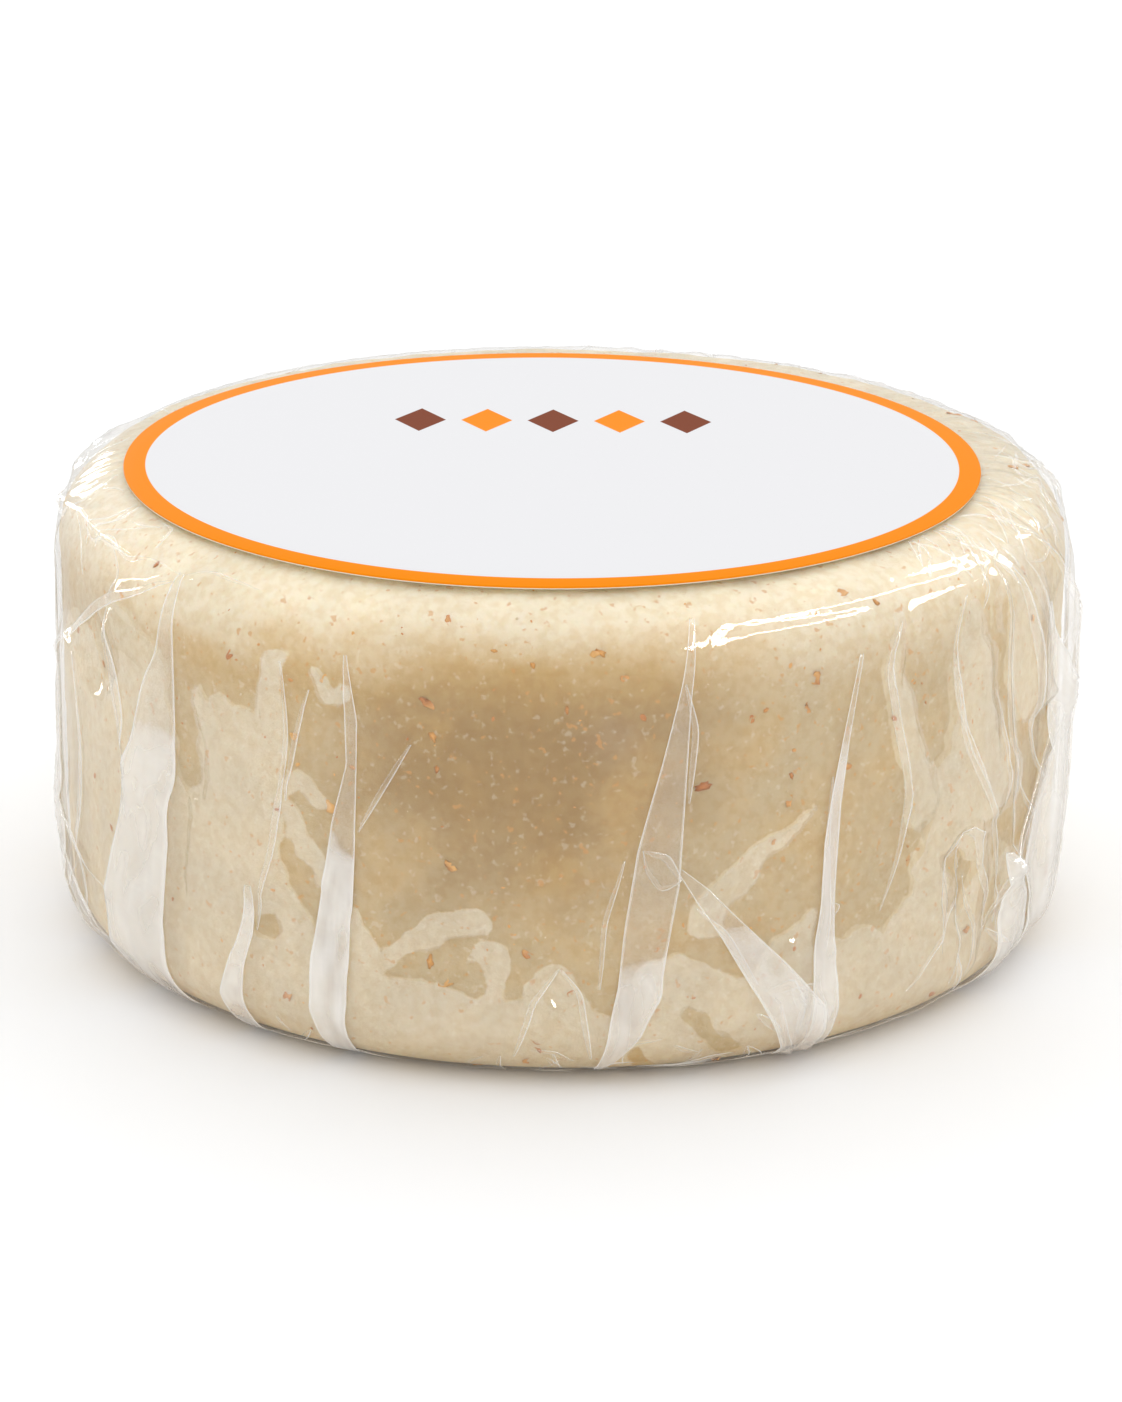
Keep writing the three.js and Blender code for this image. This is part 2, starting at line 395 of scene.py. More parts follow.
def marzipan_material():
    n = Finish("peanut_marzipan")
    broad = n.noise(3.4, 4.0)
    level = n.math("MULTIPLY_ADD", broad, WANDER, n.attribute("down"))
    warm = n.ramp(broad, 0.4, 0.75, 0.0, 0.4)
    cling = n.mix(n.attribute("pale"), SKIN_TAN, SKIN_STRAW)
    cling = n.mix(warm, cling, SKIN_WARM)
    gold = n.mix(n.attribute("oat"), SKIN_GOLD, SKIN_OAT)
    # Cream on top, gold under the shoulder, tan down the side: partly the skin's own colour, partly
    # painted light and shade from above.
    cling = n.mix(n.ramp(level, *GOLD_ENDS), gold, cling)
    body = n.mix(n.air(), cling, SKIN_DRY)
    colour = n.mix(n.ramp(level, *CREAM_ENDS), SKIN_CREAM_AND_TOP_LIGHT, body)
    where = n.add("ShaderNodeTexCoord").outputs["Object"]
    far = n.add("ShaderNodeVectorMath", {0: where, 1: PATCH_AT.tolist()}, operation="DISTANCE")
    wobble = n.math("MULTIPLY_ADD", n.noise(2.2, 3.0), 6.0 * MM, far.outputs["Value"])
    colour = n.mix(n.ramp(wobble, *PATCH_FADES, PATCH_STRENGTH, 0.0), colour, SKIN_PATCH)
    # Broad random mottling, less the painted shade along the far rim.
    mottle_and_rim_shade = n.ramp(broad, 0.3, 0.72, 0.94, 1.05)
    mottle_and_rim_shade = n.math("SUBTRACT", mottle_and_rim_shade, n.math("MULTIPLY", n.attribute("back"), FAR_RIM_PAINTED_SHADE))
    mottle_and_rim_shade = n.add("ShaderNodeCombineColor", {0: mottle_and_rim_shade, 1: mottle_and_rim_shade, 2: mottle_and_rim_shade})
    colour = n.mix(1.0, colour, mottle_and_rim_shade, "MULTIPLY")
    colour = n.mix(n.ramp(n.noise(0.5, 4.0), 0.34, 0.62, 0.48, 0.0), colour, GRAIN_TINT, "MULTIPLY")
    colour = n.mix(n.ramp(n.noise(0.36, 1.5), 0.60, 0.74, 0.0, 0.18), colour, CRUMB_WHITE)
    colour = n.mix(n.ramp(n.noise(0.41, 1.5), 0.65, 0.74, 0.0, 0.6), colour, CRUMB_ORANGE)
    height = n.math("MULTIPLY_ADD", n.noise(0.2, 2.0), 0.3, n.noise(0.55, 3.0))
    return n.principled(
        colour, 0.55, IOR=1.42, Subsurface_Weight=0.45, Subsurface_Radius=(1.0, 0.62, 0.34),
        Subsurface_Scale=1.2 * MM, Normal=n.bump(height, 0.12, 0.6))


def link(name, data):
    made = bpy.data.objects.new(name, data)
    bpy.context.scene.collection.objects.link(made)
    return made


def add_piece(name, mesh, material):
    piece = link(name, mesh)
    mesh.materials.clear()
    mesh.materials.append(material)
    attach(piece, "root")
    return piece


cake = add_piece("marzipan_cake", cake_mesh, marzipan_material())
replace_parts(cake, "wrapped_candy")

# ---- Clear film -------------------------------------------------------------
# One sheet of thin clear film, drawn over the cake and gathered underneath. It
# clings in places, stands off in milky patches elsewhere, and breaks into
# creases over the shoulder and round the foot.
FILM_COLUMNS = 560
CLOSE = -0.13  # clinging film, measured from the base surface
OFF = 0.32  # film with air behind it
UNDER_GROOVE = 0.3  # depth of the creases underneath
UNDER_TWIST = 9  # degrees by which they curl on their way in
KNOT_RADIUS = 3.0  # flat knot of overlapped film in the middle underneath
FILM_WHITE = (0.96, 0.94, 0.905)  # the milky look of film with air behind it, partly painted reflection
FILM_EDGE_ON_PAINTED_SHADE = (0.72, 0.70, 0.67)  # painted shade: grey on what comes through film seen edge on, for the darker things it would refract and reflect
FILM_UNDER = (0.97, 0.945, 0.915)  # what comes through it at the foot
MILKY_VEIL = 0.085  # white of the film where there is air behind it, partly painted reflection
CLEAR_VEIL = 0.006  # and where there is none
MOST_WHITE = 0.9
GRAZING_SHEEN = 0.30
UNDER_SHADE = (23.2, 25.4)  # millimetres down the film over which its gloss goes

# Sharp creases: (height, half-width, points), in millimetres, and points as
# for the patches.
CREASES = [
    # the taut edge over the left shoulder, down to the seam's point
    (0.75, 0.8, [(-84, 4.0), (-76, 3.7), (-68, 3.2), (-57, 3.4), (-45.5, 3.6)]),
    (0.35, 0.5, [(-45.5, 3.6), (-39.5, 2.9), (-34, 3.2), (-30, 4)]),
    (0.55, 0.6, [(-57, 5.8), (-50.5, 4.8), (-45.5, 3.7)]),
    (0.5, 0.5, [(-56.5, 5.8), (-54, 8.5), (-52, 12), (-50, 17)]),
    (0.4, 0.6, [(-57, 5.8), (-63, 8), (-67.5, 9.1), (-72, 10.7)]),
    (0.6, 0.6, [(-76, 3.9), (-79, 8), (-84, 13)]),
    (0.4, 0.5, [(-73, 20), (-64, 22.8), (-56.5, 23.6)]),
    (0.4, 0.5, [(-76.5, 17), (-66, 18.9), (-57, 20.7)]),
    (0.45, 0.5, [(-80, 11), (-74, 17), (-66, 25)]),
    # upright creases on the right flank
    (0.5, 0.45, [(55, 3.2), (55, 8.5), (57, 14.1), (58, 20)]),
    (0.55, 0.5, [(57, 3.0), (62.5, 10), (67, 12.4)]),
    (0.6, 0.5, [(76, 9.4), (66.5, 14.7), (59, 18.9), (53, 21.6)]),
    (0.45, 0.45, [(46, 8.3), (47, 12.1), (54, 17.2), (54.5, 21)]),
    (0.5, 0.5, [(66, 3.4), (72, 6), (76, 9.4), (80, 15), (79, 22)]),
    (0.4, 0.4, [(44, 22), (44, 17), (46, 15.8), (49.6, 16), (51.5, 19), (52, 22)]),
    (0.4, 0.4, [(46.5, 23), (46.5, 18), (47.6, 17.2)]),
    (0.4, 0.4, [(38, 4.9), (36.4, 8), (39, 13), (44, 20)]),
    # tucks that run to the knot
    (0.5, 0.4, [(21, 21.8), (24, 24.6), (27, 27)]),
    (0.5, 0.4, [(26, 21.4), (24.6, 23.6), (25.5, 26.5)]),
    (0.5, 0.4, [(30, 22.4), (28.5, 24), (27.5, 27)]),
    (0.35, 0.35, [(9.5, 21), (14, 23), (20, 24.6)]),
    (0.35, 0.35, [(-1.4, 21.4), (1.4, 22.6), (3.4, 25.2)]),
    (0.3, 0.3, [(-15.2, 9.4), (-18.3, 11.8), (-21, 14)]),
    (0.3, 0.3, [(-26.5, 7.3), (-28, 9.7), (-29.5, 13)]),
    (0.3, 0.4, [(6.5, 14.6), (4.6, 17.6), (4.2, 21)]),
]

# Soft ridges, where the film is stretched along the shoulder in parallel lines.
RIDGES = [
    (0.10, 0.42, [(13.8, 3.1), (16, 2.5), (30.5, 2.3), (45.5, 2.3), (57, 2.6)]),
    (0.09, 0.36, [(15.2, 3.9), (17, 3.3), (30, 3.2), (41, 3.1), (55, 3.4)]),
    (0.07, 0.32, [(18, 4.1), (28, 4.0), (36, 3.9)]),
    (0.10, 0.36, [(38.5, 4.9), (41, 4.3), (47, 4.1), (54.5, 4.2)]),
    (0.08, 0.36, [(34, 1.4), (46, 1.5), (58, 1.8)]),
    (0.20, 0.45, [(-88, 4.1), (-76, 3.8), (-68, 3.2), (-57, 3.4), (-45.5, 3.6)]),
    (0.08, 0.30, [(-45.2, 3.5), (-39.5, 2.9), (-34, 3.0)]),
]


def back_creases():
    """Round the back: long slanting creases, and short lines along the
    shoulder where the film is stretched."""
    draw = np.random.default_rng(23)
    creases = []
    for middle in np.arange(BACK_FROM, BACK_TO, 6.5):
        lean = draw.uniform(-9, 9)
        top = draw.uniform(3, 14)
        bottom = draw.uniform(20, 26)
        bend = lean * draw.uniform(0.2, 0.8)
        points = [(middle, top), (middle + bend, (top + bottom) / 2), (middle + lean, bottom)]
        creases.append((draw.uniform(0.3, 0.6), draw.uniform(0.35, 0.6), points))
        if draw.random() < 0.7:
            level, reach = draw.uniform(1.6, 4.4), draw.uniform(4, 12)
            dip = draw.uniform(-0.6, 0.6)
            points = [(middle - reach, level), (middle, level + dip), (middle + reach, level)]
            creases.append((draw.uniform(0.25, 0.6), draw.uniform(0.3, 0.6), points))
    return creases


ALL_CREASES = CREASES + back_creases()


def crease_height(angle, down, creases, power):
    """Height of the creases: a crest that falls away on both sides and fades
    out at the ends. It is sharp when the power is 1, and round when it is 2."""
    height = np.zeros(np.shape(angle))
    for rise, width, points in creases:
        best = np.full(height.shape, 1e9)
        share = np.zeros(height.shape)
        for along_it, away in legs(angle, down, points):
            nearer = away < best
            best = np.where(nearer, away, best)
            share = np.where(nearer, along_it, share)
        ends = np.sqrt(np.clip(np.minimum(share, 1 - share) * 6, 0.15, 1))
        height = np.maximum(height, rise * ends * np.exp(-(best / width) ** power))
    return height


def gathers(angle):
    """-1 to 1: fine gathers, drawn tighter towards the foot."""
    a = np.radians(angle)
    return 0.5 * np.sin(23 * a + 1.3) + 0.3 * np.sin(37 * a) + 0.2 * np.sin(61 * a + 4)


def film_offset(angle, down):
    """How far the film stands off the base surface, along its normal."""
    at = place(angle, *profile(down)[:2])
    gap = air_gap(angle, down)
    beside = turn(angle, 0)
    flank = smooth(np.abs(beside), 35, 75) * (1 - 0.8 * smooth(down, 18, 24))
    on_side = smooth(down, 3, 8)
    close = CLOSE * smooth(down, 0.2, 2.5) - 0.01
    off = close + (OFF + 0.2 * flank - close) * smooth(gap, -0.15, 1.6) * on_side
    off = off + 0.16 * flank * smooth(down, 0.5, 4)
    # upright wrinkles, deeper where there is air, and gathers towards the foot
    wrinkles = 1 - 2 * np.abs(noise_at(at * np.array([1.0, 1.0, 0.28]), 2.6, 5, 2))
    amount = (0.015 + 0.10 * smooth(gap, -0.3, 1.5)) * on_side
    off = off + amount * wrinkles + 0.10 * smooth(down, 17, 25) * (0.5 + 0.5 * gathers(angle))
    off = off + (0.05 - 0.75 * off) * smooth(down, 22.5, 26)
    # fine spokes across the rim, deepest on the right
    rim = smooth(down, -1.5, 1.0) * (1 - smooth(down, 3.5, 7.0))
    spokes = noise_at(place(angle, 26.0 + 0 * down, 0 * down), 0.9, 6, 2)
    off = off + rim * (0.02 + 0.02 * flank + 0.07 * smooth(beside, 40, 75)) * spokes
    # creases, weaker along the shoulder at the back
    sharp = crease_height(angle, down, ALL_CREASES, 1) * smooth(down, 0.4, 1.6)
    sharp = sharp * (1 - 0.8 * smooth(np.abs(beside), 95, 125) * (1 - smooth(down, 3.0, 6.0)))
    soft = crease_height(angle, down, RIDGES, 2)
    # the film is drawn tight on the far left and the far right
    tight = np.maximum(0.85 * smooth(-beside, 62, 84), 0.45 * smooth(beside, 66, 86))
    tight = tight * smooth(down, 2.5, 6) * smooth(130 - np.abs(beside), 0, 15)
    return (off + sharp) * (1 - tight) + soft, gap


def film_points(angle, down, rise):
    """Points that stand a given height off the base surface. Round the foot
    the film stands out sideways, never below the table."""
    r, z, nr, nz = profile(down)
    out = np.where(down > FOOT_FROM, 1.0, nr)
    up = np.where(down > FOOT_FROM, 0.0, nz)
    fade = 1 - smooth(down, UNDER_FROM - 2.4, UNDER_FROM + 1.0)
    return place(angle, r + rise * out * fade, np.maximum(z + rise * up, 0.0))


def film_surface(n, veil, face_on, roughness, bump=None):
    """White by the share of the veil, clear elsewhere, and glossy, more so when
    seen at a slant. The wide pieces have a bump, and tint what comes through:
    warm at the foot, and grey where seen edge on, which is painted shade."""
    normal = {"Normal": bump} if bump else {}
    facing = n.add("ShaderNodeLayerWeight", normal).outputs["Facing"]
    grazing = n.math("POWER", facing, 4.0)
    shown = n.math("SUBTRACT", 1.0, n.attribute("under"))
    tint = (1.0, 1.0, 1.0)
    if bump:
        tint = n.mix(n.attribute("under"), tint, FILM_UNDER)
        # Painted shade: what comes through is greyed where the film is seen edge on.
        tint = n.mix(n.math("MULTIPLY", grazing, shown), tint, FILM_EDGE_ON_PAINTED_SHADE)
    clear = n.add("ShaderNodeBsdfTransparent", {"Color": tint})
    white = n.add("ShaderNodeBsdfDiffuse", {"Color": FILM_WHITE})
    gloss = n.add("ShaderNodeBsdfGlossy",
                  {"Color": (1.0, 1.0, 1.0), "Roughness": roughness, **normal})
    sheen = n.math("MULTIPLY", n.math("MULTIPLY_ADD", grazing, GRAZING_SHEEN, face_on), shown)
    body = n.add("ShaderNodeMixShader", {0: veil, 1: clear, 2: white})
    return n.surface(n.add("ShaderNodeMixShader", {0: sheen, 1: body, 2: gloss}))


def film_material():
    n = Finish("clear_film")
    air = n.air()
    haze = n.ramp(n.noise(3.0, 1.0), 0.3, 0.7, 0.8, 1.2)
    # Milky where there is air behind it, partly painted reflection; folded edges white, partly
    # painted highlight.
    veil = n.math("MULTIPLY", n.math("MULTIPLY_ADD", air, MILKY_VEIL, CLEAR_VEIL), haze)
    veil = n.math("MULTIPLY_ADD", n.attribute("edge"), 0.9, veil)
    bump = n.bump(n.noise(0.7, 2.0, (1.0, 1.0, 0.35)), 0.06, 0.35)
    face_on = n.math("MULTIPLY_ADD", air, 0.035, 0.05)
    return film_surface(n, n.math("MINIMUM", veil, MOST_WHITE), face_on, 0.04, bump)


def film_angles():
    """Columns, closer together on the front half, where the folds are finest."""
    steps = np.linspace(-180, 180, 7200, endpoint=False)
    weight = np.where(np.abs(steps) < 92, 1.3, 0.7)
    share = np.cumsum(weight) / weight.sum()
    return np.interp(np.arange(FILM_COLUMNS) / FILM_COLUMNS, share, steps)


film_downs = spans((-20.0, -1.0, 5), (-1.0, SIDE_FROM, 40), (SIDE_FROM, FOOT_FROM, 76),
                   (FOOT_FROM, UNDER_FROM, 28), (UNDER_FROM, UNDER_FROM + UNDER - KNOT_RADIUS, 20))
film_angle, film_down = np.meshgrid(film_angles(), film_downs)
film_rise, film_gap = film_offset(film_angle, film_down)
film_shape = film_points(film_angle, film_down, film_rise)
inward = np.clip((film_down - UNDER_FROM) / (UNDER - KNOT_RADIUS), 0, 1)
groove = UNDER_GROOVE * np.sin(inward * math.pi)
film_shape[..., 2] += groove * (0.5 - 0.5 * gathers(film_angle + UNDER_TWIST * inward))
film_mesh = closed_grid("film", film_shape, (0, 0, WRAP_HEIGHT), (0, 0, 0))
store(film_mesh, "air", film_gap)
store(film_mesh, "edge", 0 * film_gap)  # only its folds and tucks have white edges, partly painted highlight
store(film_mesh, "under", smooth(film_down, *UNDER_SHADE))
film_finish = film_material()
film = add_piece("film", film_mesh, film_finish)
film.visible_shadow = False  # thin film passes the light on
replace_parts(film, "wrapped_candy")

# ---- Folds of the film ------------------------------------------------------
# The slack of the sheet is laid over in long flat folds that start in a point
# on the shoulder and are tucked under the foot. Each is two more layers of
# film, with a rounded fold along either edge.
FOLD_ROWS = 70
FOLD_HALF = 0.045  # half the thickness of a fold at its edges
FOLD_END = 27.5  # millimetres down the film, just in under the foot
LAYER_VEIL = 0.16  # extra white of the doubled film where it is milky, partly painted reflection
FOLD_RAISED = 0.03  # how far a fold stands off the sheet
CROSSING_RAISED = 0.12  # and one that crosses another

# (left edge, right edge, how far down it turns milky, how far it stands off the
# sheet, how white it is there): the edges are lines of places, and both run on
# to the fold's end.
FRONT_FOLDS = [
    ([(-45.5, 3.4), (-49.5, 10.5), (-55, 17.9), (-57.5, 21.4), (-55, 27)],
     [(-45.0, 3.4), (-45, 10.9), (-45.3, 17), (-46.5, 21), (-45, 27)],
     11.5, FOLD_RAISED, 0.24),
    ([(-34.2, 17.6), (-35.8, 20.8), (-38, 23.6), (-38, FOLD_END)],
     [(-33.6, 17.6), (-34.2, 20.4), (-35, 23.7), (-35, FOLD_END)],
     18.0, FOLD_RAISED, 0.22),
    ([(-22.6, 5.4), (-22.3, 10.7), (-24, 13.6), (-26.5, 20.5), (-26.5, 23), (-25, FOLD_END)],
     [(-22.4, 5.4), (-21.2, 8.5), (-21.5, 14.1), (-22, 18.6), (-22.5, 22), (-23, FOLD_END)],
     14.5, FOLD_RAISED, 0.34),
    ([(13.6, 3.1), (12.2, 6.5), (10.4, 10), (8, 14.2), (6.8, 18), (6.2, 21), (4, 26)],
     [(14, 3.1), (13.2, 6.7), (12.7, 12), (12.3, 16), (10.5, 21.1), (8.5, 23.6), (4.6, 26)],
     19.6, FOLD_RAISED, 0.24),
    ([(12.3, 15.4), (14.4, 17), (17, 18.8), (21, 22), (24, 25), (25, FOLD_END)],
     [(12.5, 15.2), (15.4, 16.3), (18, 17.6), (23.5, 20.2), (28.5, 22.9), (28, FOLD_END)],
     18.4, CROSSING_RAISED, 0.16),
    ([(32.3, 5.8), (30.4, 10), (29.3, 12.6), (28.6, 14.8), (28.4, 18), (27.4, 21),
      (27, FOLD_END)],
     [(32.6, 5.8), (31.1, 10), (30.3, 13), (30, 16.2), (29.9, 18), (30.2, 22),
      (30, FOLD_END)],
     10.0, FOLD_RAISED, 0.20),
    ([(67.5, 7), (68, 12), (66, 16.6), (63, 20.4), (62, FOLD_END)],
     [(68, 7), (73, 12), (73.6, 17), (73, 22), (71, FOLD_END)],
     7.0, FOLD_RAISED, 0.24),
    ([(-74, 14), (-74.5, 18), (-74, 22), (-73, FOLD_END)],
     [(-73.6, 14), (-70.5, 18), (-69, 22), (-68, FOLD_END)],
     14.0, FOLD_RAISED, 0.24),
    ([(57, 18.6), (56, 21), (55, FOLD_END)],
     [(57.6, 18.6), (61, 21), (61.5, FOLD_END)],
     17.0, FOLD_RAISED, 0.22),
]
BACK_FOLD_EVERY = 23.0


def back_folds():
    """One fold in each stretch of the back, which widens as it comes down."""
    draw = np.random.default_rng(7)
    folds = []
    for middle in np.arange(BACK_FROM + 8, BACK_TO, BACK_FOLD_EVERY):
        top = middle + draw.uniform(-5, 5)
        start = draw.uniform(3, 8)
        lean = draw.uniform(-7, 7)
        width = draw.uniform(3, 10)
        kink = draw.uniform(0.4, 0.7)
        rows = [(t, start + (FOLD_END - start) * t) for t in (0, kink, 0.8, 1)]
        left = [(top + (lean - width * 0.5) * t, down) for t, down in rows]
        right = [(top + 0.2 + (lean * 0.6 + width * 0.5) * t ** 1.3, down) for t, down in rows]
        folds.append((left, right, draw.uniform(9, 20), FOLD_RAISED, LAYER_VEIL))
    return folds


def along(points, count):
    """Evenly spaced points along a line of places."""
    p = np.array(points, float)
    step = np.hypot(np.diff(p[:, 0]) * ROLL, np.diff(p[:, 1]))
    at = np.concatenate([[0], np.cumsum(step)]) / step.sum()
    t = np.linspace(0, 1, count)
    return np.stack([np.interp(t, at, p[:, 0]), np.interp(t, at, p[:, 1])], axis=-1)


def fold_section(face_steps, bend_steps):
    """Once round a flattened tube: share of the way across, side (1 outer,
    -1 inner), and how near the edge. It starts at the left edge, outer face."""
    rows = []
    for outer in (1, -1):
        for i in range(face_steps):
            t = (i + 0.5) / face_steps
            rows.append((t if outer == 1 else 1 - t, outer, 0.0))
        for i in range(bend_steps):
            a = math.pi * (i + 0.5) / bend_steps
            past = outer * 1e-3 * math.sin(a)
            rows.append(((1 if outer == 1 else 0) + past, outer * math.cos(a), math.sin(a)))
    return np.array(rows).T


def fold(a, b, milky_from, section, raised, veil=LAYER_VEIL):
    """One fold between the lines a and b: its points, how white they are, the
    air behind them and how far they are on the underside."""
    across, side, edge = section
    t = across[None, :]
    on_face = np.clip(t, 0, 1)
    width = np.hypot((b[:, 0] - a[:, 0]) * ROLL, b[:, 1] - a[:, 1])[:, None]
    bulge = np.where(t > 0.5, 1, -1) * (np.abs(t - 0.5) > 0.5) * edge * FOLD_HALF / ROLL
    angle = a[:, :1] + (b[:, :1] - a[:, :1]) * on_face + bulge
    down = a[:, 1:] + (b[:, 1:] - a[:, 1:]) * on_face
    base, _ = film_offset(angle, down)
    wave = noise_at(film_points(angle, down, base), 3.0, 9, 2)
    thick = FOLD_HALF * np.minimum(1.0, width / 0.6)  # it thins out towards its point
    swell = 0.05 * (2 + wave) * np.sin(on_face * math.pi) * np.minimum(1, width / 3)
    rise = base + raised + thick * (1 + side) + swell * np.where(side > 0, 1.4, 0.6)
    air = np.clip((down - milky_from + 1.2 * wave) * 0.3, -0.6, 0.6)
    # the white runs in streaks down the fold
    row = np.arange(len(a))[:, None] * 0.12
    where = np.broadcast_arrays(t * width * 1.6, row, a[:1, :1])
    streak = noise_at(np.stack(where, -1), 1.0, 14, 2)
    # The rounded edges are drawn white: partly milky doubled film, partly a painted highlight along
    # the bend.
    white = edge + veil * (1 + 0.7 * streak) * smooth(air, -0.1, 0.3) * (1 - edge)
    return film_points(angle, down, rise), white, air, smooth(down, *UNDER_SHADE)


def folds_piece(name, material, made):
    """Joins folds into one mesh; each is a closed flattened tube."""
    vertices, faces, shift = [], [], 0
    for points, *_ in made:
        rows, columns = points.shape[:2]
        index = shift + np.arange(rows * columns).reshape(rows, columns)
        nxt = np.roll(index, -1, axis=1)
        quads = np.stack([index[:-1], index[1:], nxt[1:], nxt[:-1]], -1)
        faces += quads.reshape(-1, 4).tolist()
        faces += [index[0][::-1].tolist(), index[-1].tolist()]
        vertices.append(points.reshape(-1, 3) * MM)
        shift += rows * columns
    mesh = bpy.data.meshes.new(name)
    mesh.from_pydata(np.concatenate(vertices).tolist(), [], faces)
    mesh.shade_smooth()
    for k, kept in enumerate(("edge", "air", "under"), start=1):
        store(mesh, kept, np.concatenate([values[k].ravel() for values in made]))
    piece = add_piece(name, mesh, material)
    piece.visible_shadow = False
    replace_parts(piece, "wrapped_candy")


wide_section = fold_section(9, 5)
folds_piece("film_folds", film_finish, [
    fold(along(left, FOLD_ROWS), along(right, FOLD_ROWS), milky, wide_section, raised, veil)
    for left, right, milky, raised, veil in FRONT_FOLDS + back_folds()])

# ---- Tucks of the film ------------------------------------------------------
# Narrow slivers where the film is doubled over: long ones on the flanks, short
# crumpled ones round the foot and the shoulder, and a knot at the front where
# three folds meet. They are the same film.
TUCK_ROWS = 21
TUCK_RAISED = 0.05
NEVER_MILKY = 30.0  # millimetres down the film, past the end of any tuck

# (width in millimetres, line of places)
FRONT_TUCKS = [
    # the taut edge over the left shoulder: the white edges of these tucks draw a painted highlight
    # line
    (0.22, [(-86, 4.3), (-80, 3.3), (-75, 4.2), (-70, 3.1), (-66, 3.3)]),
    (0.20, [(-66, 3.3), (-63, 4.0), (-58, 3.2), (-53.5, 3.9), (-50, 3.3), (-45.3, 3.5)]),
    (0.14, [(-45.3, 3.5), (-42, 2.9), (-39.5, 3.0), (-34, 3.2)]),
    (0.12, [(-69, 3.2), (-66, 4.4), (-64, 5.6)]),
    (0.12, [(-57, 3.4), (-55.5, 4.6), (-56.6, 6)]),
    (0.54, [(-46, 3.9), (-50.5, 4.9), (-57, 5.9), (-67.5, 9.1), (-73, 11.4)]),
    (0.30, [(-57, 5.8), (-53.5, 8.5), (-52, 11.4), (-52.6, 15)]),
    (0.36, [(-73, 20), (-64, 22.4), (-56.5, 23.6)]),
    (0.42, [(-77, 18), (-66, 18.9), (-57, 20.9)]),
    (0.54, [(-80, 4.4), (-73, 7), (-80, 12.1), (-77.5, 19.6), (-72, 25)]),
    (0.48, [(-86, 5), (-84, 12), (-78, 20), (-70, 26)]),
    (0.36, [(-70, 9.5), (-74, 14), (-74, 20)]),
    (0.30, [(-64, 9.4), (-62, 14), (-64, 20), (-60, 25)]),
    (0.21, [(-15.3, 9.3), (-18.5, 11.8), (-21, 13.9)]),
    (0.34, [(21.5, 21.8), (24.5, 21.2), (26, 24)]),
    (0.40, [(26, 21.6), (25.2, 23.4), (25, 25.2)]),
    (0.30, [(22.6, 21.9), (26, 21.7), (28.5, 22)]),
    (0.36, [(25, 25.2), (27.5, 24.8), (26, 24)]),
    (0.34, [(28.5, 22), (28.2, 23.6), (27.5, 24.8), (26, 26.6)]),
    (0.30, [(23.2, 22.4), (23.8, 24), (25, 25.2), (25.6, 26.6)]),
    (0.30, [(8.5, 14.2), (11, 14.6), (12.5, 15.8)]),
    (0.30, [(12.5, 15.8), (10.5, 16.2), (9, 15.2), (8.5, 14.2)]),
    (0.22, [(28.8, 17.9), (30.5, 18.2), (29.5, 18.8)]),
    (0.22, [(29.3, 11.6), (28.8, 15), (29.4, 18.8), (28.4, 22)]),
    (0.21, [(-26.5, 7.3), (-28, 9.7), (-29.5, 13)]),
    (0.24, [(-30, 6.2), (-29.2, 10), (-31, 15), (-33.6, 20)]),
    (0.18, [(6.6, 14.6), (4.6, 17.6), (4.2, 21)]),
    (0.21, [(0.2, 20), (2.2, 21.2), (3.4, 24.6)]),
    (0.21, [(0, 20), (-2.4, 21.4), (-4.6, 24.6)]),
    (0.24, [(12.6, 6.2), (13.8, 8.4), (13.2, 12)]),
    (0.18, [(14.2, 17.2), (17.4, 18.6), (21, 21.4)]),
    (0.48, [(55, 3.6), (55, 8.5), (57, 14.1), (58.6, 20)]),
    (0.42, [(57, 3.4), (60, 8.4), (62.5, 13), (66, 17)]),
    (0.66, [(77, 8.6), (66.5, 14.7), (59, 18.9), (52, 22)]),
    (0.36, [(46, 8.3), (47, 12.1), (54, 17.2), (55, 22)]),
    (0.54, [(66, 3.4), (71, 6), (76, 9.4), (79, 15), (78, 22)]),
    (0.60, [(73.5, 8.6), (68.5, 10), (67, 11.6), (70, 12.8), (76, 11.4)]),
    (0.42, [(44.2, 22), (43.6, 18), (45.6, 16), (49.6, 16), (51.5, 19), (52, 22.6)]),
    (0.36, [(46.4, 24), (47.4, 20), (46.4, 17.6), (47.6, 16.8)]),
    (0.30, [(49, 24), (49.8, 21), (48.6, 18.6)]),
    (0.36, [(38, 4.7), (35.4, 6.4), (37.2, 10), (39.2, 13), (38.6, 16.2), (36, 19)]),
    (0.30, [(48.5, 4.4), (45.7, 5.9), (46, 9.4), (48, 12), (51, 14.4)]),
    (0.54, [(62, 4), (64, 9), (70, 15), (73, 22)]),
    (0.48, [(84, 7), (79, 14), (71, 21)]),
    (0.42, [(80, 3.6), (82, 11), (79, 19)]),
    (0.48, [(88, 6), (87, 13), (90, 21)]),
    (0.36, [(60, 15), (64, 19), (62, 24)]),
    (0.30, [(53, 9.6), (55.4, 12.4), (54.6, 16)]),
]

